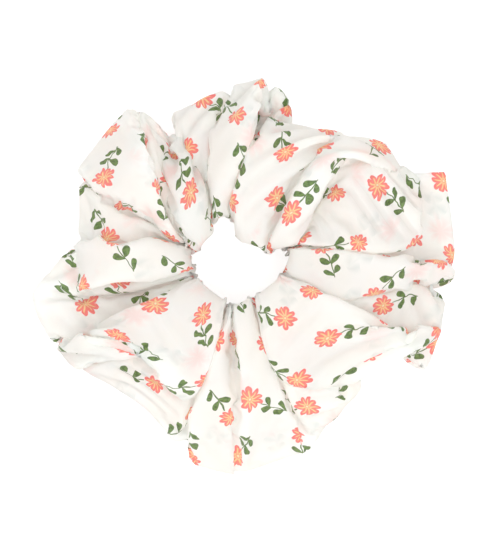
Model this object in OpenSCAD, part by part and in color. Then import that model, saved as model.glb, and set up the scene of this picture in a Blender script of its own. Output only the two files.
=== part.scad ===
// Large gathered scrunchie, lying flat.
// A printed fabric tube is closed into a ring and gathered on a flat elastic loop.
// The fabric and the elastic are each one piece on the real object. Here they are cut at
// the plane x = 0, so that the left and right halves can slide apart as the ring stretches.
// Origin: the middle of the scrunchie's outline, in the plane that it rests on. Millimetres.

/* [Cover] */
// Height of the gathered cover at its crown
cover_h = 46; // [40:1:52]
// Thickness of the gathered fabric wall
wall = 1.6; // [1.2:0.1:2]
// Number of pleats round the ring
pleats = 20; // [10:2:30]
// Depth of a pleat at the crown
pleat_depth = 3; // [0:0.5:4]

/* [Elastic] */
// Radius of the elastic loop, at the middle of its thickness
elastic_r = 21.4; // [21.2:0.1:23]
// Width of the flat elastic
elastic_w = 7; // [6:0.5:8]
// Thickness of the flat elastic
elastic_t = 1.2; // [1:0.1:1.4]
// Rubber threads knitted into the elastic
rubber_threads = 7; // [5:1:8]
// Diameter of a rubber thread
rubber_d = 0.5; // [0.4:0.05:0.6]
// Distance from the origin to the axis of the loop, along +Y
loop_y = 5.4; // [4:0.2:7]
// Angle of the lap where the two ends of the elastic are sewn together
lap_angle = 34; // [26:2:40]

/* [Sewing] */
// Diameter of the sewing thread
thread_d = 0.3; // [0.2:0.05:0.4]
// Radius at which the long seam runs round the ring, over the flat foot of the cover
seam_r = 39; // [38:0.5:40]
// Width of the seam allowance inside the cover
allowance_w = 6; // [5:0.5:8]
// Thickness of the two raw edges sewn together
allowance_t = 0.8; // [0.6:0.1:1]
// Stitches of the long seam in half the ring
seam_stitches = 30; // [20:1:40]

/* [Hidden] */

// Outline of the cover seen from above: [angle, radius] about the axis of the elastic loop,
// the angle from +X towards +Y
RIM = [
  [-180, 70], [-173, 80], [-165, 80], [-155, 78], [-145, 75], [-131, 63], [-118, 67],
  [-108, 77], [-96, 81], [-85, 77], [-68, 74], [-56, 69], [-46, 70], [-38, 67],
  [-30, 80], [-18, 82], [-8, 77], [0, 80], [14, 79], [24, 84], [29, 72], [42, 71],
  [48, 63], [54, 65], [66, 57], [72, 63], [82, 70], [90, 70], [97, 64], [114, 61],
  [120, 58], [125, 70], [132, 72], [150, 69], [160, 66], [174, 63], [180, 70]
];
// Outline of the hair opening, in the same way
HOLE = [
  [-180, 19], [-157, 17], [-129, 15], [-100, 16], [-69, 15], [-40, 15], [-17, 16.5],
  [0, 17.5], [30, 15.5], [60, 15], [85, 15.5], [97, 17.5], [119, 17], [140, 16.5],
  [169, 17], [180, 19]
];
RING_STEP = 4;          // degrees between two sections of the cover
SECTION_POINTS = 28;    // points round one section
SQUARENESS = 0.8;       // under 1 fills the section out towards a rectangle
CROWN_SHARE = 0.52;     // half height of the section, as a share of cover_h, before its foot is cut flat
CLOSING_ANGLE = 206;    // where the ends of the fabric tube are sewn together
FABRIC = [0.98, 0.95, 0.92];
KNIT = [0.93, 0.93, 0.91];
RUBBER = [0.80, 0.74, 0.62];
THREAD = [0.97, 0.96, 0.93];

elastic_z = cover_h / 2;
lap_r = elastic_r + elastic_t;

function signed_power(x, p) = sign(x) * pow(abs(x), p);
function turn(a) = a > 180 ? a - 360 : a;
function ripple(a) = cos(a * pleats) + 0.35 * cos(a * (pleats / 2 - 1) + 40);

// One point of the cover, inset from its outside by t: a is the angle round the ring and
// b the angle round the tube, 0 at the rim and 90 at the crown
function cover_point(a, b, t) =
  let (
    outer = lookup(turn(a), RIM),
    inner = lookup(turn(a), HOLE),
    reach = (outer - inner) / 2 - t,
    half_h = cover_h * CROWN_SHARE - t,
    crown = max(0, sin(b)) * (pleat_depth / 1.35) * (ripple(a) - 1.35) * 0.5,
    r = (outer + inner) / 2 + reach * signed_power(cos(b), SQUARENESS),
    z = cover_h * (1 - CROWN_SHARE) + half_h * signed_power(sin(b), SQUARENESS) + crown
  )
  [r * cos(a), loop_y + r * sin(a), max(t, z)];

function section(a, t) =
  [for (k = [0:SECTION_POINTS - 1]) cover_point(a, k * 360 / SECTION_POINTS, t)];

// Half of the hollow cover, from the ring angle a0 through 180 degrees
module cover_half(a0) {
  rings = 180 / RING_STEP;
  n = SECTION_POINTS;
  outside = [for (i = [0:rings]) each section(a0 + i * RING_STEP, 0)];
  inside = [for (i = [0:rings]) each section(a0 + i * RING_STEP, wall)];
  off = len(outside);
  faces = [
    for (i = [0:rings - 1], k = [0:n - 1])
      let (a = i * n + k, b = i * n + (k + 1) % n, c = a + n, d = b + n)
        each [[a, b, d], [a, d, c], [off + a, off + d, off + b], [off + a, off + c, off + d]],
    for (k = [0:n - 1])
      let (a = k, b = (k + 1) % n, e = rings * n)
        each [
          [a, off + b, b], [a, off + a, off + b],
          [e + a, e + b, off + e + b], [e + a, off + e + b, off + e + a]
        ]
  ];
  color(FABRIC) polyhedron(concat(outside, inside), faces, convexity = 8);
}

module at_loop() translate([0, loop_y, 0]) children();

module half_ring(a0)
  at_loop() rotate([0, 0, a0]) rotate_extrude(angle = 180, $fn = 96) children();

// A straight piece of thread between two points
module thread(p, q) {
  v = q - p;
  translate(p)
    rotate([0, acos(v.z / norm(v)), atan2(v.y, v.x)])
      cylinder(h = norm(v), d = thread_d, $fn = 16);
}

module seam_allowance(a0)
  color(FABRIC) half_ring(a0)
    translate([seam_r - allowance_t / 2, wall]) square([allowance_t, allowance_w]);

// Half of a row of stitches standing clear of the allowance, on its outer or inner face
module seam_stitches(a0, side, shift) {
  pitch = 180 / seam_stitches;
  r = seam_r + side * (allowance_t / 2 + thread_d / 2 + 0.06);
  color(THREAD) at_loop()
    for (k = [0:seam_stitches - 2]) {
      a = a0 + (k + shift) * pitch;
      b = a + pitch * 0.8;
      thread([r * cos(a), r * sin(a), wall + 1], [r * cos(b), r * sin(b), wall + 1]);
    }
}

// Stitches across the tube where its two ends meet, clear of the face inset by t. The flat
// foot has none.
module closing_stitches(t, shift) {
  loop = section(CLOSING_ANGLE, t);
  color(THREAD)
    for (k = [0:SECTION_POINTS - 1], half = [0, 0.5]) {
      p = loop[k];
      v = loop[(k + 1) % SECTION_POINTS] - p;
      if (norm(v) > 2 && p.z > 3 * wall)
        thread(p + v * (half + shift), p + v * (half + shift + 0.32));
    }
}

module knit_profile(r)
  translate([r, elastic_z])
    difference() {
      square([elastic_t, elastic_w], center = true);
      thread_rows() circle(d = rubber_d, $fn = 24);
    }

module thread_rows()
  for (k = [0:rubber_threads - 1])
    translate([0, ((k + 0.5) / rubber_threads - 0.5) * elastic_w]) children();

module lap()
  at_loop() rotate([0, 0, -lap_angle / 2]) rotate_extrude(angle = lap_angle, $fn = 96) children();

// Half of the knitted band. The right half has the lap, where one end lies on the other.
module elastic_knit(a0, lapped)
  color(KNIT) {
    half_ring(a0) knit_profile(elastic_r);
    if (lapped) lap() knit_profile(lap_r);
  }

module elastic_rubber(a0, lapped)
  color(RUBBER) {
    half_ring(a0) translate([elastic_r, elastic_z]) thread_rows() circle(d = rubber_d, $fn = 24);
    if (lapped)
      lap() translate([lap_r, elastic_z]) thread_rows() circle(d = rubber_d, $fn = 24);
  }

// Zigzag tack over the lap, on a cylinder of radius r about the axis of the loop
module tack(r) {
  turns = 12;
  tall = elastic_w * 0.36;
  step = lap_angle * 0.7 / turns;
  color(THREAD) at_loop()
    for (k = [0:turns - 1]) {
      a = (k - turns / 2) * step;
      b = a + step * 0.88;
      up = k % 2 == 0 ? 1 : -1;
      thread(
        [r * cos(a), r * sin(a), elastic_z - up * tall],
        [r * cos(b), r * sin(b), elastic_z + up * tall]
      );
    }
}

cover_half(90);  // cover_left
cover_half(-90);  // cover_right
seam_allowance(90);  // seam_allowance_left
seam_allowance(-90);  // seam_allowance_right
seam_stitches(90, 1, 0.2);  // long_seam_needle_thread_left
seam_stitches(-90, 1, 0.2);  // long_seam_needle_thread_right
seam_stitches(90, -1, 0.7);  // long_seam_bobbin_thread_left
seam_stitches(-90, -1, 0.7);  // long_seam_bobbin_thread_right
closing_stitches(-thread_d, 0.08);  // closing_seam_needle_thread
closing_stitches(wall + thread_d, 0.12);  // closing_seam_bobbin_thread
elastic_knit(90, false);  // elastic_knit_left
elastic_knit(-90, true);  // elastic_knit_right
elastic_rubber(90, false);  // elastic_rubber_left
elastic_rubber(-90, true);  // elastic_rubber_right
tack(elastic_r - elastic_t / 2 - thread_d / 2 - 0.05);  // elastic_tack_needle_thread
tack(lap_r + elastic_t / 2 + thread_d / 2 + 0.05);  // elastic_tack_bobbin_thread
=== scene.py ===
import math

import bpy
import numpy as np
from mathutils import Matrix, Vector


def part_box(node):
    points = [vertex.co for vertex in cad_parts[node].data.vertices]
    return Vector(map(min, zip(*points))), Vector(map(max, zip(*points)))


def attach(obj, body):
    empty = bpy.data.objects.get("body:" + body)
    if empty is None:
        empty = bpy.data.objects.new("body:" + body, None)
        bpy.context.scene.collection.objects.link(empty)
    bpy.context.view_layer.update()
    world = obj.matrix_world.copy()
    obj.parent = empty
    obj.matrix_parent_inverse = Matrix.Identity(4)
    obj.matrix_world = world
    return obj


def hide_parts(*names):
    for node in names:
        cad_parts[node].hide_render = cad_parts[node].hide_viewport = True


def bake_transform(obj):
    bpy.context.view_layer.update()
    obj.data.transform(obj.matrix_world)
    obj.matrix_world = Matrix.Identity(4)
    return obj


# Everything in this script is in millimetres until it becomes a Blender mesh or object.
MM = 0.001

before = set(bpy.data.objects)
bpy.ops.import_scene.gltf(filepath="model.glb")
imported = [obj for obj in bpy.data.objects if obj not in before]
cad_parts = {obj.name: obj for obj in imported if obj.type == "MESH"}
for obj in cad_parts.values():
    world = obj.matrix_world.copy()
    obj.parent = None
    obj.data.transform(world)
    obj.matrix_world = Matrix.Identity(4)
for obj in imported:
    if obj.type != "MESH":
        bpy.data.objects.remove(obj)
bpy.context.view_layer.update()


# ---------------------------------------------------------------- sizes from the frame

def box_mm(node):
    """The lowest and highest corners of a CAD node, in millimetres to the nearest micrometre."""
    low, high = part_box(node)
    return [round(v / MM, 3) for v in low], [round(v / MM, 3) for v in high]


knit_low, knit_high = box_mm("elastic_knit_left")
ELASTIC_THICK = 1.2
ELASTIC_WIDTH = knit_high[2] - knit_low[2]
ELASTIC_Z = (knit_low[2] + knit_high[2]) / 2
ELASTIC_R = -knit_low[0] - ELASTIC_THICK / 2       # to the middle of the band
LOOP_Y = (knit_low[1] + knit_high[1]) / 2          # the elastic's loop is centred on X = 0 and this Y
LAP_ANGLE = 34                                     # degrees over which the elastic's ends overlap
RUBBER_THREADS = 7
RUBBER_D = 0.5
THREAD_D = 0.3


# ---------------------------------------------------------------- the fold layout

# The cover is one strip of fabric. Columns of its grid run along the strip, round the elastic,
# and rows run round the tube: from the hole over the top to the rim, and back underneath.
ALLOWANCE = 6.0      # seam allowance on each long edge
STEP = 3.0           # wanted distance between columns
ROWS = 52
HALF = ROWS // 2     # rows on top, and as many underneath
INNER_R = 19.4       # where the fabric turns round the elastic, at the hole
INNER_Z = 22
PANEL_POINTS = 13    # points across a panel, and across a tuck
TUCK_POINTS = 17
TUCK_ROOM = 2        # fabric a tuck has beyond the widest gap that it bridges

# The folds that show, going round anticlockwise from the bottom. Between each two is a hidden tuck.
# Name, clockwise border, anticlockwise border (both from the hole to the rim), how much the
# middle rises, and how far the rim bulges out between the borders.
PANELS = [
    ("front_bottom", [(-4, -13, 34), (-9, -28, 40), (-14, -42, 38), (-19, -54, 28), (-19, -70.5, 14)],
     [(-4, -13, 32), (-5, -28, 37), (-4, -48, 33), (-3, -76.5, 15)], 2, 1),
    ("bottom_fan", [(-3, -13, 34), (-1, -30, 40), (1, -46, 38), (0, -60, 28), (0, -75, 15)],
     [(3, -9, 33), (10, -28, 36), (16, -46, 30), (25, -66.5, 14)], 2, 0),
    ("bottom_right", [(4, -9, 31), (11, -28, 33), (18, -47, 28), (26, -64, 14)],
     [(7, -7, 27), (18, -22, 26), (30, -38, 22), (39, -46, 18), (46, -43, 12)], 1, 0),
    ("big_front", [(6, -8, 34), (8, -25, 41), (12, -36, 38), (17, -42, 32), (35, -40, 30),
                   (50, -33, 28), (62, -27, 20)],
     [(15, -1, 35), (24, -4, 40), (38, -11, 42), (58, -21, 34), (78, -22, 16)], 4, 0),
    ("right_low", [(15, 0, 28), (36, -12, 28), (56, -25, 22), (71, -37, 12)],
     [(17, 1, 28), (38, -9, 30), (52, -7, 27), (66, -4, 20), (77, -10, 13)], 1, 1),
    ("right_strip", [(17, 1, 34), (38, -10, 36), (52, -6, 36), (68, -3, 28), (80.5, -1, 16)],
     [(20, 10, 35), (34, 9, 39), (48, 7, 40), (64, 5, 34), (79, 3, 20)], 2, 0),
    ("right_back", [(21, 11, 27), (40, 9, 23), (60, 5, 19), (82, 3, 12)],
     [(21, 12, 27), (45, 30, 22), (62, 38, 18), (77.5, 38.5, 13)], 1, 0),
    ("right_front", [(20, 12, 31), (34, 10, 36), (50, 9, 37), (67, 10, 31), (68, 22, 27), (65, 35, 20)],
     [(22, 13, 29), (32, 32, 31), (40, 41, 32), (51, 41, 31), (61, 40, 18)], 3, 0),
    ("hood", [(21, 12, 35), (29, 28, 40), (36, 42, 40), (39, 44, 39), (50, 42, 34), (61, 37, 22)],
     [(11, 10, 34), (18, 28, 39), (26, 42, 38), (36, 51, 30), (52, 50.5, 16)], 4, 2),
    ("top_front", [(9, 9, 33), (12, 24, 38), (20, 38, 39), (29, 50, 34), (40, 53, 16)],
     [(0, 13, 34), (-4, 25, 42), (-1, 38, 43), (5, 50, 38), (10, 58, 22)], 5, 0),
    ("top_flap", [(-2, 18, 26), (-1, 34, 24), (8, 52, 18), (19, 58, 12)],
     [(-3, 20, 25), (-1, 38, 22), (8, 56, 16), (18, 66, 13)], 1, 0),
    ("top_back", [(-3, 20, 23), (-1, 38, 19), (8, 55, 12), (18, 67, 9)],
     [(-3, 20, 23), (-1, 40, 19), (6, 58, 12), (12, 73.5, 10)], 1, 1.5),
    ("top_ridge", [(-5, 23, 33), (-2, 37, 39), (4, 52, 40), (5, 64, 34), (9, 75, 16)],
     [(-10, 21, 33), (-12, 35, 39), (-11, 50, 34), (-3, 70, 16)], 4, 0),
    ("top_left", [(-12, 20, 28), (-13, 35, 28), (-12, 50, 26), (-5, 70, 14)],
     [(-13, 18, 30), (-15, 35, 30), (-23, 51, 28), (-26, 61, 16)], 2, 1),
    ("top_small", [(-11, 16, 36), (-12, 25, 39), (-15, 34, 38), (-20, 43, 34), (-24, 52, 20)],
     [(-16, 7.5, 35), (-22, 14, 39), (-25, 30, 38), (-25, 42, 32), (-27, 51, 16)], 3, 0),
    ("leaf_roll", [(-23, 15, 28), (-27, 28, 31), (-31, 42, 30), (-33, 52, 24), (-36, 60, 15)],
     [(-25, 15, 30), (-30, 30, 30), (-35, 44, 30), (-40, 61.5, 17)], 1, 1),
    ("leaf", [(-25, 15, 33), (-31, 30, 40), (-35, 44, 41), (-42.5, 62.5, 20)],
     [(-26, 14, 31), (-34, 21, 37), (-44, 27, 36), (-54, 32, 28), (-61.5, 38.5, 15)], 5, 2.5),
    ("leaf_under", [(-26, 13, 27), (-35, 19, 27), (-46, 23, 28), (-61, 36, 14)],
     [(-25, 12, 25), (-36, 13, 25), (-47, 12, 26), (-61, 13, 14)], 2, 0),
    ("left_square", [(-23, 11, 33), (-34, 13.5, 36), (-45, 11, 37), (-57, 13, 30), (-62, 12, 18)],
     [(-20, 1, 33), (-32, -2, 36), (-48, -3, 37), (-58, -6, 30), (-62, -8, 18)], 3, 0),
    ("left_tip", [(-20.5, 2, 27), (-40, 5, 22), (-58, 9, 18), (-65, 9, 12)],
     [(-20.5, -1, 27), (-42, -6, 24), (-62, -7, 20), (-78, -5, 12)], 1, 0),
    ("left_low", [(-20.5, -1.5, 28), (-42, -8, 20), (-62, -9, 16), (-81.5, -9, 12)],
     [(-19.5, -4, 30), (-36, -12, 24), (-56, -23, 20), (-72, -25, 14)], 1, 0),
    ("left_front", [(-18, -2, 34), (-32, -9, 40), (-48, -17, 38), (-60, -24, 30), (-71, -28, 16)],
     [(-6, -10, 35), (-9, -25, 42), (-14, -39, 40), (-20, -50, 34), (-23, -37, 36),
      (-29, -30.5, 36), (-39, -29, 33), (-51, -31, 27), (-63, -35, 17)], 5, 0),
    ("left_bottom", [(-9, -11, 28), (-22, -24, 28), (-40, -30, 24), (-62, -36, 13)],
     [(-6, -12, 28), (-12, -28, 28), (-17, -44, 24), (-21, -54, 20), (-24, -64, 13)], 2, -4),
]
CLOSING_SEAM_AFTER = "left_low"      # the tuck after this panel hides the seam


def unit(vectors):
    """Vectors of length 1 with the same directions."""
    return vectors / np.maximum(np.linalg.norm(vectors, axis=-1, keepdims=True), 1e-9)


def lengths(points):
    """The length of each straight piece of a line."""
    return np.linalg.norm(np.diff(points, axis=0), axis=1)


def even(points, count):
    """Points spaced evenly along a line."""
    run = np.concatenate([[0], np.cumsum(lengths(points))])
    wanted = np.linspace(0, run[-1], count)
    return np.stack([np.interp(wanted, run, points[:, c]) for c in range(points.shape[1])], axis=1)


def between(s, t0, t1, p0, p1):
    """The point at s on the way from p0 at t0 to p1 at t1."""
    return (t1 - s) / (t1 - t0) * p0 + (s - t0) / (t1 - t0) * p1


def smooth_line(points, count):
    """Points spaced evenly along a smooth curve through the given points (centripetal Catmull-Rom)."""
    p = np.asarray(points, float)
    p = np.vstack([2 * p[0] - p[1], p, 2 * p[-1] - p[-2]])
    t = np.concatenate([[0], np.cumsum(np.sqrt(lengths(p)))])
    curve = []
    for k in range(1, len(p) - 2):
        s = np.linspace(t[k], t[k + 1], 24, endpoint=False)[:, None]
        a1 = between(s, t[k - 1], t[k], p[k - 1], p[k])
        a2 = between(s, t[k], t[k + 1], p[k], p[k + 1])
        a3 = between(s, t[k + 1], t[k + 2], p[k + 1], p[k + 2])
        b1 = between(s, t[k - 1], t[k + 1], a1, a2)
        b2 = between(s, t[k], t[k + 2], a2, a3)
        curve.append(between(s, t[k], t[k + 1], b1, b2))
    curve.append(p[-2][None])
    return even(np.vstack(curve), count)


def from_centre(points):
    """Where points lie from the middle of the elastic's loop, seen from above."""
    return np.asarray(points, float)[..., :2] - (0, LOOP_Y)


def border(points):
    """A panel's border all the way round the tube: ROWS points from the inner line over the top,
    round the rim and back under, and the distance between them on top and underneath."""
    points = np.asarray(points, float)
    centre = np.array([0, LOOP_Y])
    rim = points[-1]
    rim_r = np.linalg.norm(from_centre(rim))
    rim_way = from_centre(rim) / rim_r
    hole_way = from_centre(points[0]) / np.linalg.norm(from_centre(points[0]))

    def at(way, radius, height):
        return np.append(way * radius + centre, height)

    inner = at(hole_way, INNER_R, INNER_Z)
    under = [
        rim,
        at(rim_way, rim_r - 1.5, 5),
        at(rim_way, rim_r - 9, 1.2),
        at(unit(0.6 * rim_way + 0.4 * hole_way), 0.5 * rim_r + 8, 0.8),
        at(hole_way, 24, 5),
        at(hole_way, 19.5, 13),
        inner,
    ]
    halves = [smooth_line(half, HALF + 1) for half in (np.vstack([inner, points]), np.array(under))]
    return np.vstack([half[:-1] for half in halves]), [lengths(half).sum() / HALF for half in halves]


def into_tube(point, share):
    """Into the tube: down on top, inward at the rim and up underneath."""
    turn = np.clip((share - 0.38) / 0.24, 0, 1) * math.pi     # 0 on top, pi underneath
    return np.append(-unit(from_centre(point)) * np.sin(turn), -np.cos(turn))


def depth_limit(share):
    """How deep a tuck may be at a share of the way round the tube from the inner line."""
    top = np.interp(share, [0, 0.06, 0.16, 0.34, 0.5], [1.5, 3, 10, 16, 15])
    low = np.interp(share, [0.5, 0.66, 0.84, 0.94, 1], [16, 11, 9, 3, 1.5])
    return np.where(share < 0.5, top, low)


def panel_middle(first, last, rise, bulge):
    """The line midway between a panel's borders, raised on top and pushed out at the rim."""
    share = np.arange(ROWS) / ROWS
    on_top = np.clip(1 - np.abs(share - 0.25) / 0.25, 0, 1)
    at_rim = np.clip(1 - np.abs(share - 0.5) / 0.2, 0, 1)
    middle = (first + last) / 2
    middle[:, 2] += 0.45 * rise * on_top ** 0.5
    middle[:, :2] += unit(from_centre(middle)) * (bulge * at_rim)[:, None]
    return middle


def panel_arc(first, middle, last):
    """Points across a panel in one row, all but the last, on a curve through its middle."""
    s = np.linspace(0, 1, PANEL_POINTS)[:, None]
    arc = (1 - s) ** 2 * first + 2 * s * (1 - s) * (2 * middle - (first + last) / 2) + s ** 2 * last
    return s[:-1, 0], arc[:-1]


def tuck_fold(first, last, length, share):
    """Points across a tuck in one row, all but the last: as deep as its fabric and the limit allow."""
    t = np.linspace(0, 1, TUCK_POINTS)[:, None]
    gap = np.linalg.norm(last - first)
    depth = min(0.5 * math.sqrt(max(length ** 2 - gap ** 2, 0)), depth_limit(share))
    way = into_tube((first + last) / 2, share)
    fold = (1 - t) * first + t * last + way * depth * np.sin(math.pi * t) ** 0.8
    return t[:-1, 0], even(fold, TUCK_POINTS)[:-1]


def lay_out():
    """The strip in its folds: the places of its grid points, its length, how far along it the
    closing seam runs, and the fabric length from each row to the next."""
    first, first_spans = zip(*[border(panel[1]) for panel in PANELS])
    last, last_spans = zip(*[border(panel[2]) for panel in PANELS])
    middle = [panel_middle(f, b, panel[3], panel[4]) for f, b, panel in zip(first, last, PANELS)]
    seen = [np.linalg.norm(m - f, axis=1) + np.linalg.norm(b - m, axis=1)
            for f, m, b in zip(first, middle, last)]
    following = first[1:] + first[:1]
    cut = np.array([s.max() for s in seen])
    tuck = np.array([np.linalg.norm(f - b, axis=1).max() for f, b in zip(following, last)]) + TUCK_ROOM
    starts = np.concatenate([[0], np.cumsum(cut + tuck)])
    total = starts[-1]
    columns = int(round(total / STEP / 4)) * 4
    wanted = np.arange(columns) * total / columns
    grid = np.zeros((columns, ROWS, 3))
    for row in range(ROWS):
        along, places = [], []
        slack = [(c - s[row]) / 2 for c, s in zip(cut, seen)]
        for k in range(len(PANELS)):
            s, arc = panel_arc(first[k][row], middle[k][row], last[k][row])
            along.append(starts[k] + slack[k] + s * seen[k][row])
            places.append(arc)
            length = slack[k] + tuck[k] + slack[(k + 1) % len(PANELS)]
            t, fold = tuck_fold(last[k][row], following[k][row], length, row / ROWS)
            along.append(starts[k] + cut[k] - slack[k] + t * length)
            places.append(fold)
        along = np.concatenate(along)
        places = np.vstack(places)
        for c in range(3):
            grid[:, row, c] = np.interp(wanted, along, places[:, c], period=total)
    edges = np.stack([starts[:-1], starts[:-1] + cut], axis=1).ravel()
    spans = np.stack([first_spans, last_spans], axis=1).reshape(-1, 2)
    span = np.stack([np.interp(wanted, edges, spans[:, h], period=total) for h in (0, 1)], axis=1)
    hidden = [panel[0] for panel in PANELS].index(CLOSING_SEAM_AFTER)
    closing = starts[hidden] + cut[hidden] + tuck[hidden] / 2
    return grid, total, closing, np.repeat(span, HALF, axis=1)


# ---------------------------------------------------------------- the cloth

FLOOR_GAP = 0.3      # lowest fabric layer above the floor
PRESSED = 0.6        # height over which layers near the floor are pressed together
SIDE_ROOM = 0.8      # room between the elastic's face and the fabric
EDGE_ROOM = 0.7      # room above and below the elastic
INNER_HOLD = 0.2     # how firmly the inner line keeps its place at the elastic
YARN_HOLD = 0.9      # how firmly the fabric keeps its length
NEIGHBOURS = 2       # rows and columns over which points may touch
CELLS = 1024         # for numbering the cells of space in which points are looked up
CELL_ORIGIN = 200


def move(a, b, rest, stiffness):
    """Moves points a and b towards their rest distance, each by half of the way."""
    way = b - a
    distance = np.sqrt((way * way).sum(-1)) + 1e-9
    way *= ((distance - rest) / distance * (0.5 * stiffness))[..., None]
    a += way
    b -= way


class Cloth:
    """A grid of fabric points that closes on itself both ways, eased into place step by step."""

    def __init__(self, x, du, dv):
        self.x = np.ascontiguousarray(x, float)
        self.du = du            # fabric length to the next column
        self.dv = dv            # fabric length to the next row

    def link(self, axis, rest, span, stiffness):
        """Holds points span apart along an axis at their length in the fabric."""
        pair = 2 * span
        count = self.x.shape[axis] // pair * pair
        for shift in (0, span):
            y = np.moveaxis(np.roll(self.x, -shift, axis), axis, 0)
            length = np.moveaxis(np.roll(rest, -shift, axis), axis, 0)[:count]
            length = length.reshape(count // pair, pair, -1)[:, :span] * span
            pairs = np.ascontiguousarray(y[:count]).reshape(count // pair, pair, -1, 3)
            move(pairs[:, :span], pairs[:, span:], length, stiffness)
            y = np.array(y)
            y[:count] = pairs.reshape(count, -1, 3)
            self.x = np.roll(np.moveaxis(y, 0, axis), shift, axis)

    def shear(self, stiffness):
        """Holds the diagonals of the grid at their length."""
        rest = np.sqrt(self.du ** 2 + self.dv ** 2)
        for shift in (0, 1):
            y = np.roll(self.x, -shift, 0)
            length = np.roll(rest, -shift, 0)[0::2]
            for side in (-1, 1):
                a = y[0::2]
                b = np.roll(y[1::2], -side, 1)
                move(a, b, length if side == 1 else np.roll(length, 1, 1), stiffness)
                y[1::2] = np.roll(b, side, 1)
            self.x = np.roll(y, shift, 0)

    def collide(self, gap):
        """Pushes apart points that are closer than gap and are no neighbours in the fabric.
        Points are sorted into cells of space, as wide as the gap."""
        columns, rows = self.x.shape[:2]
        p = self.x.reshape(-1, 3)
        cell = np.floor(p / gap).astype(np.int64) + CELL_ORIGIN
        key = (cell[:, 0] * CELLS + cell[:, 1]) * CELLS + cell[:, 2]
        order = np.argsort(key, kind="stable")
        sorted_key = key[order]
        place = np.arange(len(p))
        column, row = np.divmod(place, rows)
        push_sum = np.zeros_like(p)
        push_count = np.zeros(len(p))
        offsets = [(dx * CELLS + dy) * CELLS + dz for dx in (0, 1) for dy in (-1, 0, 1) for dz in (-1, 0, 1)]
        for offset in [value for value in offsets if value >= 0]:
            low = np.searchsorted(sorted_key, sorted_key + offset, "left") if offset else place + 1
            high = np.searchsorted(sorted_key, sorted_key + offset, "right")
            found = np.maximum(high - low, 0)
            if not found.sum():
                continue
            i = order[np.repeat(place, found)]
            first = np.repeat(low - np.cumsum(found) + found, found)
            j = order[np.arange(found.sum()) + first]
            way = p[j] - p[i]
            distance = np.sqrt((way * way).sum(1))
            apart_u = np.abs(column[i] - column[j])
            apart_u = np.minimum(apart_u, columns - apart_u)
            apart_v = np.abs(row[i] - row[j])
            apart_v = np.minimum(apart_v, rows - apart_v)
            close = (distance < gap) & ((apart_u > NEIGHBOURS) | (apart_v > NEIGHBOURS))
            if not close.any():
                continue
            i, j, way, distance = i[close], j[close], way[close], distance[close] + 1e-6
            push = way * ((gap - distance) / distance * 0.5)[:, None]
            for c in range(3):
                push_sum[:, c] -= np.bincount(i, push[:, c], len(p))
                push_sum[:, c] += np.bincount(j, push[:, c], len(p))
            push_count += np.bincount(i, minlength=len(p)) + np.bincount(j, minlength=len(p))
        p += push_sum / np.maximum(push_count, 1)[:, None] ** 0.5
        self.x = p.reshape(columns, rows, 3)

    def clear(self):
        """Keeps the fabric above the floor and off the elastic."""
        x = self.x
        x[..., 2] += 0.5 * np.maximum(FLOOR_GAP - x[..., 2], 0)
        out = x[..., :2] - (0, LOOP_Y)
        r = np.linalg.norm(out, axis=-1) + 1e-9
        dr = r - ELASTIC_R
        dz = x[..., 2] - ELASTIC_Z
        side = ELASTIC_THICK / 2 + SIDE_ROOM - np.abs(dr)
        edge = ELASTIC_WIDTH / 2 + EDGE_ROOM - np.abs(dz)
        inside = (side > 0) & (edge > 0)
        sideways = inside & (side <= edge)
        upright = inside & ~sideways
        x[..., :2] = out * ((r + np.where(sideways, np.sign(dr) * side, 0)) / r)[..., None] + (0, LOOP_Y)
        x[..., 2] += np.where(upright, np.sign(dz) * edge, 0)

    def settle(self, goal, steps, hold, drop, bend, shear, gap):
        """Relaxes the cloth: held to the goal, dropping a little, with its lengths kept and its
        layers apart. hold depends on the share of the steps done; bend is along and round the tube."""
        firm = lip_hold(self.x.shape[1])
        for step in range(steps):
            self.x += (hold(step / steps) * firm) * (goal - self.x)
            self.x[:, 0] += INNER_HOLD * (goal[:, 0] - self.x[:, 0])
            self.x[..., 2] -= drop
            self.link(0, self.du, 2, bend[0])
            self.link(1, self.dv, 2, bend[1])
            self.shear(shear)
            self.link(0, self.du, 1, YARN_HOLD)
            self.link(1, self.dv, 1, YARN_HOLD)
            if step % 3 == 2:
                self.collide(gap)
            self.clear()


def gathered_lengths(columns, rows, total):
    """Fabric length to the next column: drawn together at the elastic."""
    share = np.arange(rows) / rows
    drawn = np.interp(share, [0, 0.05, 0.2, 0.8, 0.95, 1], [0.3, 0.4, 1, 1, 0.4, 0.3])
    return np.tile(total / columns * drawn, (columns, 1))


def lip_hold(rows):
    """How much more firmly the rows near the hole keep to the layout."""
    share = np.arange(rows) / rows
    return (1 + 7 * np.exp(-(share / 0.09) ** 2))[:, None]


def upsample(x):
    """Doubles the grid both ways by a cubic through its points."""
    for axis in (0, 1):
        a, b, c, d = (np.roll(x, shift, axis) for shift in (1, 0, -1, -2))
        halfway = (-a + 9 * b + 9 * c - d) / 16
        shape = [n * 2 if k == axis else n for k, n in enumerate(x.shape)]
        x = np.stack([x, halfway], axis=axis + 1).reshape(shape)
    return x


def coarse_hold(done):
    """Firm at first, then looser, and nearly free at the end."""
    return 0.012 if done > 0.85 else 0.10 * (1 - done) + 0.025


def fine_hold(_):
    """The fine grid only settles its small creases."""
    return 0.004


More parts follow.
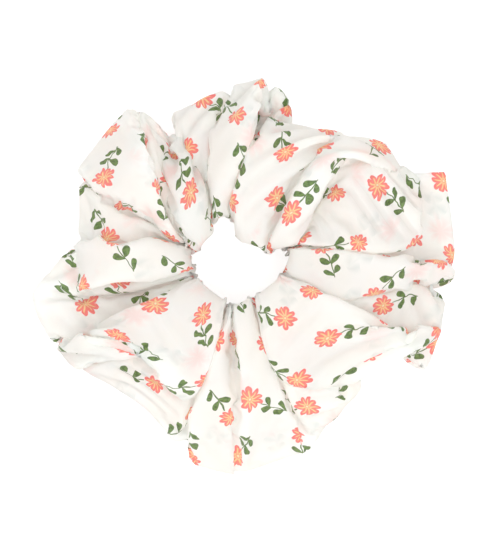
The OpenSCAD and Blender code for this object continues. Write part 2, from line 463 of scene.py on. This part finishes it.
def relaxed_fabric(coarse_steps, fine_steps):
    """The cover's grid at rest, the strip's length, where its closing seam is, and its row spacing."""
    grid, total, closing, dv = lay_out()
    columns, rows = grid.shape[:2]
    coarse = Cloth(grid, gathered_lengths(columns, rows, total), dv * 1.01)
    coarse.settle(grid.copy(), coarse_steps, coarse_hold, drop=0.01, bend=(0.015, 0.04), shear=0.25, gap=1.7)
    x = upsample(coarse.x)
    dv = np.repeat(np.repeat(coarse.dv / 2, 2, 0), 2, 1)
    fine = Cloth(x, gathered_lengths(2 * columns, 2 * rows, total), dv)
    fine.settle(x.copy(), fine_steps, fine_hold, drop=0.004, bend=(0.015, 0.03), shear=0.2, gap=1.0)
    # Layers that lie on the floor are pressed flat but stay in their order.
    low = fine.x[..., 2]
    low[:] = FLOOR_GAP + PRESSED * np.logaddexp(0, (low - FLOOR_GAP) / PRESSED)
    return fine.x, total, closing, dv


# ---------------------------------------------------------------- materials

class Net:
    """Short names for making a material's nodes."""

    def __init__(self, name):
        self.material = bpy.data.materials.new(name)
        self.material.use_nodes = True
        self.tree = self.material.node_tree
        self.tree.nodes.clear()

    def add(self, kind, **settings):
        node = self.tree.nodes.new(kind)
        for key, value in settings.items():
            setattr(node, key, value)
        return node

    def put(self, socket, value):
        if isinstance(value, bpy.types.NodeSocket):
            self.tree.links.new(value, socket)
        elif value is not None:
            socket.default_value = value

    def math(self, operation, a, b=None, c=None):
        node = self.add("ShaderNodeMath", operation=operation)
        for socket, value in zip(node.inputs, (a, b, c)):
            self.put(socket, value)
        return node.outputs[0]

    def vector(self, operation, a, b=None, scale=None):
        node = self.add("ShaderNodeVectorMath", operation=operation)
        self.put(node.inputs[0], a)
        self.put(node.inputs[1], b)
        if scale is not None:
            self.put(node.inputs["Scale"], scale)
        return node.outputs["Value" if operation == "LENGTH" else "Vector"]

    def split(self, vector):
        node = self.add("ShaderNodeSeparateXYZ")
        self.put(node.inputs[0], vector)
        return node.outputs[0], node.outputs[1], node.outputs[2]

    def join(self, x, y, z=0.0):
        node = self.add("ShaderNodeCombineXYZ")
        for socket, value in zip(node.inputs, (x, y, z)):
            self.put(socket, value)
        return node.outputs[0]

    def turn(self, vector, angle):
        node = self.add("ShaderNodeVectorRotate", rotation_type="Z_AXIS")
        self.put(node.inputs["Vector"], vector)
        self.put(node.inputs["Angle"], angle)
        return node.outputs[0]

    def ease(self, value, low, high):
        """0 at low and 1 at high, smoothly; low may be above high."""
        node = self.add("ShaderNodeMapRange", interpolation_type="SMOOTHSTEP")
        self.put(node.inputs["Value"], value)
        node.inputs["From Min"].default_value = min(low, high)
        node.inputs["From Max"].default_value = max(low, high)
        node.inputs["To Min"].default_value = 0 if low < high else 1
        node.inputs["To Max"].default_value = 1 if low < high else 0
        return node.outputs[0]

    def noise(self, vector, scale, detail=2.0, dimensions="3D"):
        node = self.add("ShaderNodeTexNoise", noise_dimensions=dimensions)
        self.put(node.inputs["Vector"], vector)
        node.inputs["Scale"].default_value = scale
        node.inputs["Detail"].default_value = detail
        return node.outputs["Fac"]

    def mix(self, factor, a, b):
        """Colour a at factor 0 and b at 1. The node's colour sockets are the ones numbered here."""
        node = self.add("ShaderNodeMix", data_type="RGBA")
        self.put(node.inputs["Factor"], factor)
        self.put(node.inputs[6], a)
        self.put(node.inputs[7], b)
        return node.outputs[2]

    def bump(self, height, strength, distance):
        node = self.add("ShaderNodeBump")
        node.inputs["Strength"].default_value = strength
        node.inputs["Distance"].default_value = distance
        self.put(node.inputs["Height"], height)
        return node.outputs[0]

    def principled(self, color, roughness, normal=None, **sockets):
        node = self.add("ShaderNodeBsdfPrincipled")
        self.put(node.inputs["Base Color"], color)
        node.inputs["Roughness"].default_value = roughness
        self.put(node.inputs["Normal"], normal)
        for key, value in sockets.items():
            node.inputs[key.replace("_", " ")].default_value = value
        return node.outputs[0]

    def finish(self, shader):
        self.put(self.add("ShaderNodeOutputMaterial").inputs["Surface"], shader)
        return self.material


def shade(red, green, blue):
    """A linear colour from display values of 0 to 255."""
    out = []
    for value in (red, green, blue):
        v = value / 255
        out.append(v / 12.92 if v <= 0.04045 else ((v + 0.055) / 1.055) ** 2.4)
    return (*out, 1.0)


CELL = 25.4          # between motifs along a row
ROW = 23.0           # between rows of motifs
PETALS = 9
FLOWER_R = 4.5
FLOWER_UP = 4.6      # from the middle of the motif to the flower's centre
YARN = 0.3           # one repeat of the weave
LEAVES = (           # base x, base y, angle in degrees, length, half width
    (0.3, -4.6, 42, 4.9, 1.3),
    (0.4, -5.3, 140, 4.8, 1.25),
    (1.5, -10.2, 56, 4.7, 1.25),
    (1.2, -9.2, 146, 4.2, 1.15),
)


def motif_place(net, fabric, shift):
    """Coordinates inside the motif that a point of the fabric falls in, and two random numbers
    of that motif. Every second row is moved on by half a cell. Motifs are turned and mirrored."""
    x, y, _ = net.split(net.vector("ADD", fabric, shift))
    row = net.math("FLOOR", net.math("DIVIDE", y, ROW))
    x = net.math("ADD", x, net.math("MULTIPLY", net.math("MODULO", row, 2.0), CELL / 2))
    column = net.math("FLOOR", net.math("DIVIDE", x, CELL))
    local_x = net.math("SUBTRACT", x, net.math("MULTIPLY", net.math("ADD", column, 0.5), CELL))
    local_y = net.math("SUBTRACT", y, net.math("MULTIPLY", net.math("ADD", row, 0.5), ROW))
    dice = net.add("ShaderNodeTexWhiteNoise", noise_dimensions="2D")
    net.put(dice.inputs["Vector"], net.join(column, row))
    a, b, c = net.split(dice.outputs["Color"])
    local_x = net.math("MULTIPLY", local_x, net.math("SIGN", net.math("SUBTRACT", c, 0.5)))
    local = net.turn(net.join(local_x, local_y), net.math("MULTIPLY", a, 2 * math.pi))
    return local, b, c


def flower_masks(net, local, size, offset, soft):
    """The petals, their veins and the eye of a motif's flower, and the distance from its centre.
    The offset makes the petals of each flower uneven in their own way."""
    p = net.vector("SUBTRACT", local, (0.0, FLOWER_UP, 0.0))
    x, y, _ = net.split(p)
    r = net.math("DIVIDE", net.vector("LENGTH", p), size)
    angle = net.math("MULTIPLY", net.math("ARCTAN2", y, x), PETALS / 2)
    lobe = net.math("POWER", net.math("ABSOLUTE", net.math("COSINE", angle)), 0.62)
    edge = net.math("MULTIPLY_ADD", lobe, 0.40 * FLOWER_R, 0.60 * FLOWER_R)
    uneven = net.noise(net.vector("ADD", net.vector("NORMALIZE", p), offset), 1.6, 0.0, "2D")
    edge = net.math("MULTIPLY", edge, net.math("MULTIPLY_ADD", uneven, 0.44, 0.78))
    petals = net.ease(net.math("SUBTRACT", r, edge), soft, -soft)
    across = net.math("MULTIPLY", net.math("ABSOLUTE", net.math("SINE", angle)), r)
    vein = net.ease(across, 1.32, 0.65)
    vein = net.math("MULTIPLY", vein, net.ease(r, 0.5, 0.9))
    vein = net.math("MULTIPLY", vein, net.ease(r, 0.84 * FLOWER_R, 0.64 * FLOWER_R))
    eye = net.ease(r, 0.65, 0.25)
    return petals, vein, eye, r


def sprig_mask(net, local, dice, soft):
    """A curved stem below the flower, with its leaves. The last one is left out where the dice
    are below a half."""
    x, y, _ = net.split(local)
    bend = net.math("MULTIPLY", net.math("POWER", net.math("ABSOLUTE", y), 2.0), 0.015)
    side = net.math("ABSOLUTE", net.math("SUBTRACT", x, bend))
    stem = net.ease(side, 0.22 + soft, 0.22 - soft)
    stem = net.math("MULTIPLY", stem, net.ease(y, 0.6, 0.2))
    stem = net.math("MULTIPLY", stem, net.ease(y, -10.7, -10.4))
    mask = stem
    for leaf_shape in LEAVES:
        base_x, base_y, angle, length, half = leaf_shape
        p = net.turn(net.vector("SUBTRACT", local, (base_x, base_y, 0.0)), -math.radians(angle))
        lx, ly, _ = net.split(p)
        t = net.math("DIVIDE", lx, length)
        inside = net.math("MULTIPLY", t, net.math("SUBTRACT", 1.0, t))
        tip = net.math("POWER", net.math("MAXIMUM", net.math("SUBTRACT", 1.0, t), 0.0), 0.5)
        wide = net.math("MULTIPLY", net.math("MULTIPLY", t, tip), 2.6 * half)
        leaf = net.ease(net.math("SUBTRACT", net.math("ABSOLUTE", ly), wide), soft, -soft)
        leaf = net.math("MULTIPLY", leaf, net.ease(inside, 0.0, 0.03))
        if leaf_shape == LEAVES[-1]:
            leaf = net.math("MULTIPLY", leaf, net.math("GREATER_THAN", dice, 0.5))
        mask = net.math("MAXIMUM", mask, leaf)
    return mask


def printed_fabric():
    """Thin ivory satin chiffon with a small print of coral flowers on green sprigs."""
    net = Net("printed_fabric")
    uv = net.add("ShaderNodeUVMap", uv_map="fabric").outputs[0]

    # The print wanders a little, as it does on soft cloth.
    wobble = net.add("ShaderNodeTexNoise", noise_dimensions="2D")
    net.put(wobble.inputs["Vector"], uv)
    wobble.inputs["Scale"].default_value = 0.16
    wobble.inputs["Detail"].default_value = 1.0
    drawn = net.vector("SUBTRACT", wobble.outputs["Color"], (0.5, 0.5, 0.5))
    fabric = net.vector("ADD", uv, net.vector("SCALE", drawn, scale=2.2))

    cloud = net.noise(uv, 0.055, 2.0, "2D")
    ground = net.mix(net.ease(cloud, 0.40, 0.62), shade(252, 254, 252), shade(253, 254, 250))

    # Painted show-through: the print of the layer behind is painted into this layer's colour as soft blurs,
    # in patches.
    ghost, _, _ = motif_place(net, fabric, (61.0, 7.5, 0.0))
    behind, _, _, _ = flower_masks(net, ghost, 1.05, (0.0, 0.0, 0.0), 2.8)
    leaves = sprig_mask(net, ghost, 1.0, 2.0)
    patch = net.ease(net.noise(uv, 0.035, 1.0, "2D"), 0.38, 0.58)
    behind = net.math("MULTIPLY", net.math("MULTIPLY", behind, patch), 0.32)
    ground = net.mix(behind, ground, shade(255, 178, 174))
    leaves = net.math("MULTIPLY", net.math("MULTIPLY", leaves, patch), 0.26)
    ground = net.mix(leaves, ground, shade(160, 186, 184))

    local, b, c = motif_place(net, fabric, (0.0, 0.0, 0.0))
    size = net.math("MULTIPLY_ADD", b, 0.32, 0.86)
    offset = net.join(net.math("MULTIPLY", b, 40.0), net.math("MULTIPLY", c, 40.0))
    petals, vein, eye, r = flower_masks(net, local, size, offset, 0.10)
    sprig = sprig_mask(net, local, b, 0.09)

    mottle = net.noise(uv, 0.9, 2.0, "2D")
    leaf = net.mix(net.ease(mottle, 0.35, 0.65), shade(58, 94, 26), shade(94, 132, 52))
    petal = net.mix(net.ease(r, 0.2 * FLOWER_R, 0.9 * FLOWER_R), shade(254, 136, 112), shade(252, 111, 109))
    petal = net.mix(net.ease(mottle, 0.4, 0.65), petal, shade(254, 129, 123))
    petal = net.mix(net.math("MULTIPLY", vein, 0.95), petal, shade(255, 218, 152))
    petal = net.mix(eye, petal, shade(252, 240, 190))
    color = net.mix(sprig, ground, leaf)
    color = net.mix(petals, color, petal)

    # Satin yarns: long fine streaks one way, a plain weave at yarn scale.
    x, y, _ = net.split(uv)
    streak = net.noise(net.join(net.math("MULTIPLY", x, 0.12), net.math("MULTIPLY", y, 2.6)), 1.0, 3.0, "2D")
    warp = net.math("SINE", net.math("MULTIPLY", x, 2 * math.pi / YARN))
    weft = net.math("SINE", net.math("MULTIPLY", y, 2 * math.pi / YARN))
    weave = net.math("MULTIPLY", warp, weft)
    color = net.mix(net.math("MULTIPLY", net.ease(streak, 0.45, 0.8), 0.06), color, shade(238, 234, 228))
    height = net.math("MULTIPLY_ADD", weave, 0.15, streak)
    normal = net.bump(height, 0.25, 0.00012)

    face = net.principled(color, 0.58, normal, Sheen_Weight=0.2, Sheen_Roughness=0.4, Specular_IOR_Level=0.3)
    through = net.add("ShaderNodeBsdfTranslucent")
    warm = net.mix(0.14, color, shade(255, 252, 246))
    net.put(through.inputs["Color"], warm)
    mixed = net.add("ShaderNodeMixShader")
    mixed.inputs[0].default_value = 0.6
    net.put(mixed.inputs[1], face)
    net.put(mixed.inputs[2], through.outputs[0])
    return net.finish(mixed.outputs[0])


def elastic_knit_material():
    """White knitted elastic: courses across the band, a little fuzz, with painted shade in the hollows of
    the knit.
    """
    net = Net("elastic_knit")
    uv = net.add("ShaderNodeUVMap", uv_map="band").outputs[0]
    x, y, _ = net.split(uv)
    course = net.math("SINE", net.math("MULTIPLY", x, 2 * math.pi / 0.9))
    wale = net.math("SINE", net.math("MULTIPLY", y, 2 * math.pi / 0.5))
    loops = net.math("MULTIPLY", course, wale)
    fuzz = net.noise(uv, 3.0, 3.0, "2D")
    height = net.math("MULTIPLY_ADD", fuzz, 0.5, loops)
    # Painted shade: the colour is darker where the loops and fuzz lie low, as shade in the knit's hollows.
    color = net.mix(net.ease(height, -0.8, 0.9), shade(214, 212, 205), shade(246, 245, 240))
    normal = net.bump(height, 0.5, 0.0002)
    return net.finish(net.principled(color, 0.8, normal, Sheen_Weight=0.3))


def rubber_material():
    """Undyed latex thread, slightly cloudy."""
    net = Net("rubber_thread")
    place = net.add("ShaderNodeTexCoord").outputs["Object"]
    cloud = net.noise(place, 900.0, 2.0)
    color = net.mix(cloud, shade(214, 198, 164), shade(196, 178, 142))
    return net.finish(net.principled(color, 0.55, net.bump(cloud, 0.2, 0.00005), Subsurface_Weight=0.1))


def thread_material():
    """Spun polyester sewing thread with its twist, and painted shade in the grooves between its plies."""
    net = Net("sewing_thread")
    uv = net.add("ShaderNodeUVMap", uv_map="twist").outputs[0]
    x, y, _ = net.split(uv)
    around = net.math("MULTIPLY", y, 4 * math.pi)
    ply = net.math("SINE", net.math("ADD", net.math("MULTIPLY", x, 9.0), around))
    # Painted shade: the colour is darker in the grooves between the plies.
    color = net.mix(net.ease(ply, -1.0, 0.6), shade(214, 206, 196), shade(250, 247, 241))
    return net.finish(net.principled(color, 0.5, net.bump(ply, 0.5, 0.00004), Sheen_Weight=0.2))


def floor_material():
    """Plain white table, lit a little from within as a light table is."""
    net = Net("floor")
    grain = net.noise(net.add("ShaderNodeTexCoord").outputs["Object"], 40.0, 2.0)
    color = net.mix(grain, shade(205, 205, 205), shade(208, 208, 208))
    return net.finish(net.principled(color, 0.9, None, Specular_IOR_Level=0.1,
                                     Emission_Color=(1, 1, 1, 1), Emission_Strength=0.57))


# ---------------------------------------------------------------- meshes

def make_object(name, points, faces, material, uv_name, uv):
    """An object from points in millimetres. uv holds one pair for each point."""
    mesh = bpy.data.meshes.new(name)
    mesh.from_pydata((np.asarray(points) * MM).tolist(), [], faces)
    layer = mesh.uv_layers.new(name=uv_name)
    corner = np.empty(len(mesh.loops), dtype=np.int32)
    mesh.loops.foreach_get("vertex_index", corner)
    layer.data.foreach_set("uv", np.asarray(uv, dtype=np.float32)[corner].ravel())
    mesh.polygons.foreach_set("use_smooth", [True] * len(mesh.polygons))
    mesh.materials.append(material)
    mesh.update()
    item = bpy.data.objects.new(name, mesh)
    bpy.context.scene.collection.objects.link(item)
    return item


def ring_faces(columns, rows):
    """Quads of a grid whose points are in columns, with the last column joined to the first."""
    index = np.arange(columns * rows).reshape(columns, rows)
    ahead = np.roll(index, -1, 0)
    quads = np.stack([index[:, :-1], ahead[:, :-1], ahead[:, 1:], index[:, 1:]], axis=-1)
    return quads.reshape(-1, 4).tolist()


def grid_normals(x):
    """Unit normals of a grid that closes on itself both ways."""
    along = np.roll(x, -1, 0) - np.roll(x, 1, 0)
    across = np.roll(x, -1, 1) - np.roll(x, 1, 1)
    return unit(np.cross(along, across))


def tubes(name, lines, diameter, material, sides=8):
    """Round tubes with rounded ends along several lines of points, as one object."""
    points, faces, uvs = [], [], []
    not_quite_up = np.array([0.001, 0.001, 1.001])
    for line in lines:
        line = np.asarray(line, float)
        ahead = unit(np.gradient(line, axis=0))
        side = unit(np.cross(ahead, not_quite_up))
        up = np.cross(side, ahead)
        radius = np.full(len(line), diameter / 2)
        # Each end has a narrower ring in front of it, which rounds it.
        cap = diameter * 0.25
        line = np.vstack([line[:1] - ahead[:1] * cap, line, line[-1:] + ahead[-1:] * cap])
        side = np.vstack([side[:1], side, side[-1:]])
        up = np.vstack([up[:1], up, up[-1:]])
        radius = np.concatenate([[cap], radius, [cap]])
        run = np.concatenate([[0], np.cumsum(lengths(line))])
        start = len(points)
        for k in range(len(line)):
            for s in range(sides):
                a = 2 * math.pi * s / sides
                points.append(line[k] + radius[k] * (math.cos(a) * side[k] + math.sin(a) * up[k]))
                uvs.append((run[k], s / sides))
        for k in range(len(line) - 1):
            for s in range(sides):
                a, b = start + k * sides + s, start + k * sides + (s + 1) % sides
                faces.append((a, b, b + sides, a + sides))
        faces.append(tuple(start + s for s in reversed(range(sides))))
        last = start + (len(line) - 1) * sides
        faces.append(tuple(last + s for s in range(sides)))
    return make_object(name, points, faces, material, "twist", uvs)


# ---------------------------------------------------------------- the fabric cover

SEAM_ROW_SHARE = 0.74      # where the long seam runs, as a share of the way round the tube
ALLOWANCE_STEPS = 4        # quads across the seam allowance
SEAM_GAP = 0.15            # from the seam's line to each of the two layers of the allowance

RIGHT = "right_half"


def across_joint(piece, slot, *nodes):
    """Bakes a piece's place into its mesh and hides the CAD parts that it stands for."""
    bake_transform(piece)
    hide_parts(*nodes)


def allowance_way(x):
    """Which way the seam allowance lies inside the tube, for each column, and how much of its
    width it keeps: in the narrow folds it is crushed short."""
    inward = grid_normals(x)[:, 0]
    inward *= np.sign(np.median(inward[:, 2]))
    way = inward + (0, 0, 0.35)
    for _ in range(5):
        way = (2 * way + np.roll(way, 1, 0) + np.roll(way, -1, 0)) / 4
    way = unit(way)
    return way * np.clip(0.9 * way[:, 2:], 0.07, 1)


def close_uv(cover, columns, across, total):
    """Lets the last column of quads, which joins the strip's end to its start, run on in the uv map."""
    layer = cover.data.uv_layers["fabric"].data
    for k in range((columns - 1) * (across - 1) * 4, len(layer)):
        if layer[k].uv.x < total / 2:
            layer[k].uv.x += total


def make_cover(material):
    """The fabric with its raw edges inside. Makes the piece and gives the grid of the tube from the long
    seam round, the closing seam's column, and the long seam's line, way and side for its stitches."""
    x, total, closing, dv = relaxed_fabric(260, 60)
    columns, rows = x.shape[:2]
    seam = int(rows * SEAM_ROW_SHARE)
    x = np.roll(x, -seam, 1)
    spans = np.roll(dv, -seam, 1)
    line = x[:, 0]
    way = allowance_way(x)
    side = unit(x[:, 1] - x[:, -1]) * SEAM_GAP
    depth = np.arange(1, ALLOWANCE_STEPS + 1) * ALLOWANCE / ALLOWANCE_STEPS
    near = np.stack([line + side + way * d for d in depth[::-1]], axis=1)
    far = np.stack([line - side + way * d for d in depth], axis=1)
    sheet = np.concatenate([near, x, x[:, :1], far], axis=1)
    across = sheet.shape[1]
    round_tube = np.concatenate([np.zeros((columns, 1)), np.cumsum(spans, axis=1)], axis=1)
    v = np.concatenate([np.tile(-depth[::-1], (columns, 1)), round_tube,
                        round_tube[:, -1:] + depth[None]], axis=1)
    u = np.tile(np.arange(columns)[:, None] * total / columns, (1, across))
    uv = np.stack([u.ravel(), v.ravel() + ALLOWANCE], axis=1)
    cover = make_object("cover", sheet.reshape(-1, 3), ring_faces(columns, across),
                        material, "fabric", uv)
    close_uv(cover, columns, across, total)
    across_joint(cover, "printed_fabric", "cover_left", "cover_right",
                 "seam_allowance_left", "seam_allowance_right")
    return x, round(closing / total * columns), (line, way, side)


# ---------------------------------------------------------------- the elastic

def band_path(steps=260):
    """The loop of the elastic from its inner end, once round and on over the lap."""
    angle = np.radians(np.linspace(-LAP_ANGLE / 2, 360 + LAP_ANGLE / 2, steps))
    rise = np.clip((angle - math.radians(360 - 1.2 * LAP_ANGLE)) / math.radians(0.7 * LAP_ANGLE), 0, 1)
    radius = ELASTIC_R + ELASTIC_THICK * rise ** 2 * (3 - 2 * rise)
    return angle, radius


def band_section():
    """The outline of the band's section: distance from its middle outward, and along Z."""
    count = 14 * RUBBER_THREADS
    outline = []
    for k in range(count):
        s = k / count * 2
        side = 1 if s < 1 else -1
        t = (s % 1) * 2 - 1
        rib = 0.5 * ELASTIC_THICK * (0.86 + 0.14 * abs(math.cos(math.pi * (t + 1) / 2 * RUBBER_THREADS)))
        edge = min(1.0, (1 - abs(t)) * 9) ** 0.5
        outline.append((side * rib * edge, side * t * ELASTIC_WIDTH / 2))
    return np.array(outline)


def make_band(material):
    """The knitted strip, ribbed over each rubber thread."""
    angle, radius = band_path()
    section = band_section()
    count = len(section)
    out = np.stack([np.cos(angle), np.sin(angle)], axis=1)
    points = np.zeros((len(angle), count, 3))
    points[..., :2] = out[:, None] * (radius[:, None] + section[None, :, 0])[..., None]
    points[..., 1] += LOOP_Y
    points[..., 2] = ELASTIC_Z + section[None, :, 1]
    index = np.arange(len(angle) * count).reshape(len(angle), count)
    beside = np.roll(index, -1, 1)
    faces = np.stack([index[:-1], index[1:], beside[1:], beside[:-1]], axis=-1).reshape(-1, 4).tolist()
    faces.append(index[0].tolist())
    faces.append(index[-1][::-1].tolist())
    run = angle * ELASTIC_R
    uv = np.stack([np.repeat(run, count), np.tile(section[:, 1] + section[:, 0], len(angle))], axis=1)
    band = make_object("elastic_band", points.reshape(-1, 3), faces, material, "band", uv)
    across_joint(band, "elastic_knit", "elastic_knit_left", "elastic_knit_right")


def rubber_lines():
    """The middle lines of the rubber threads, side by side in the band."""
    angle, radius = band_path(140)
    lines = []
    for k in range(RUBBER_THREADS):
        z = ELASTIC_Z + ((k + 0.5) / RUBBER_THREADS - 0.5) * ELASTIC_WIDTH * 0.94
        lines.append(np.stack([radius * np.cos(angle), LOOP_Y + radius * np.sin(angle),
                               np.full_like(angle, z)], axis=1))
    return lines


def make_rubber(material):
    """The rubber threads that the band is knitted round."""
    rubber = tubes("rubber_threads", rubber_lines(), RUBBER_D, material)
    across_joint(rubber, "rubber_thread", "elastic_rubber_left", "elastic_rubber_right")


# ---------------------------------------------------------------- the sewing

STITCH_LIFT = 0.5          # share of its lift at which a stitch lies
SEAM_THREAD_SIDES = 6


def stitch_row(line, lift):
    """Short straight stitches over every second piece of a line of points."""
    stitches = []
    for k in range(0, len(line) - 1, 2):
        stitches.append(line[k:k + 2] + lift[k:k + 2] * STITCH_LIFT)
    return stitches


# The needle thread lies on face 1 and the bobbin thread on face -1. Their stitches alternate,
# because they start at different points.

def long_seam(name, material, seam, face, start, nodes):
    """One thread of the lockstitch that joins the two raw edges inside the tube."""
    line, way, side = seam
    at = np.roll(line + way + side * face, -start, 0)
    lift = np.roll(side * face / SEAM_GAP * (THREAD_D * 0.6), -start, 0)
    piece = tubes(name, stitch_row(at, lift), THREAD_D, material, SEAM_THREAD_SIDES)
    across_joint(piece, "sewing_thread", *nodes)


def closing_seam(name, material, tube, column, face, start, node):
    """One thread of the lockstitch across the tube, where the strip's two ends meet."""
    line = tube[column, 4:-4]
    lift = grid_normals(tube)[column, 4:-4] * face * THREAD_D * 0.55
    piece = tubes(name, stitch_row(line[start:], lift), THREAD_D, material, SEAM_THREAD_SIDES)
    across_joint(piece, "sewing_thread", node)


def tack(name, material, radius, node):
    """A zigzag over the lap of the elastic."""
    turns = 14
    reach = ELASTIC_WIDTH * 0.36
    corners = []
    for k in range(turns + 1):
        a = math.radians((k / turns - 0.5) * LAP_ANGLE * 0.66)
        z = ELASTIC_Z + (reach if k % 2 else -reach)
        corners.append(np.array((radius * math.cos(a), LOOP_Y + radius * math.sin(a), z)))
    line = [corners[0]]
    for p, q in zip(corners, corners[1:]):
        for s in np.linspace(0, 1, 9)[1:]:
            line.append(p * (1 - s) + q * s)
    piece = tubes(name, [line], THREAD_D, material)
    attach(piece, RIGHT)
    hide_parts(node)


def make_pieces():
    """Everything that belongs to the scrunchie, from the cover to the last stitch."""
    fabric_material = printed_fabric()
    knit_material = elastic_knit_material()
    latex_material = rubber_material()
    cotton = thread_material()
    tube, column, seam = make_cover(fabric_material)
    make_band(knit_material)
    make_rubber(latex_material)
    long_seam("long_seam_needle_thread", cotton, seam, 1, 0,
              ("long_seam_needle_thread_left", "long_seam_needle_thread_right"))
    long_seam("long_seam_bobbin_thread", cotton, seam, -1, 1,
              ("long_seam_bobbin_thread_left", "long_seam_bobbin_thread_right"))
    closing_seam("closing_seam_needle_thread", cotton, tube, column, 1, 0, "closing_seam_needle_thread")
    closing_seam("closing_seam_bobbin_thread", cotton, tube, column, -1, 1, "closing_seam_bobbin_thread")
    tack("elastic_tack_needle_thread", cotton, ELASTIC_R - 0.6 * ELASTIC_THICK - THREAD_D / 2,
         "elastic_tack_needle_thread")
    tack("elastic_tack_bobbin_thread", cotton, ELASTIC_R + 1.6 * ELASTIC_THICK + THREAD_D / 2,
         "elastic_tack_bobbin_thread")


# ---------------------------------------------------------------- studio, in metres

FLOOR_HALF = 1.5             # half of the floor's side
CAMERA_HEIGHT = 1.0
SHOWN_HEIGHT = 0.2061        # what the picture shows from top to bottom, at mid height
MID_HEIGHT = 0.025


def make_floor():
    """A plain square under the scrunchie."""
    mesh = bpy.data.meshes.new("floor")
    corners = [(x * FLOOR_HALF, y * FLOOR_HALF, 0) for x, y in ((-1, -1), (1, -1), (1, 1), (-1, 1))]
    mesh.from_pydata(corners, [], [(0, 1, 2, 3)])
    mesh.materials.append(floor_material())
    floor = bpy.data.objects.new("floor", mesh)
    bpy.context.scene.collection.objects.link(floor)


def area_light(name, place, size, power, color):
    """A square light that points at the middle of the scene."""
    light = bpy.data.lights.new(name, "AREA")
    light.shape = "SQUARE"
    light.size = size
    light.energy = power
    light.color = color
    item = bpy.data.objects.new(name, light)
    item.location = place
    item.rotation_euler = (-Vector(place)).to_track_quat("-Z", "Y").to_euler()
    bpy.context.scene.collection.objects.link(item)


def make_world():
    """Even light from all round, and the picture's contrast."""
    world = bpy.data.worlds.new("studio")
    world.use_nodes = True
    back = world.node_tree.nodes["Background"]
    back.inputs["Color"].default_value = (0.985, 0.99, 1.0, 1)
    back.inputs["Strength"].default_value = 0.80
    scene = bpy.context.scene
    scene.world = world
    scene.view_settings.view_transform = "Standard"
    scene.view_settings.look = "None"
    scene.view_settings.exposure = 0
    scene.view_settings.gamma = 1.12


def make_camera():
    """Straight above, as the photo was taken."""
    data = bpy.data.cameras.new("camera")
    data.sensor_fit = "VERTICAL"
    data.sensor_height = 24
    data.lens = data.sensor_height * (CAMERA_HEIGHT - MID_HEIGHT) / SHOWN_HEIGHT
    data.clip_start = 0.01
    camera = bpy.data.objects.new("camera", data)
    camera.location = (0.0004, -0.0002, CAMERA_HEIGHT)
    bpy.context.scene.collection.objects.link(camera)
    bpy.context.scene.camera = camera


make_pieces()
make_floor()
area_light("key", (0.05, -0.75, 0.85), 1.0, 2.15, (1.0, 1.0, 1.0))
area_light("top", (0.12, -0.15, 1.15), 0.8, 8.8, (0.97, 0.985, 1.0))
area_light("fill", (-0.6, 0.35, 0.8), 0.9, 1.75, (0.95, 0.98, 1.0))
make_world()
make_camera()
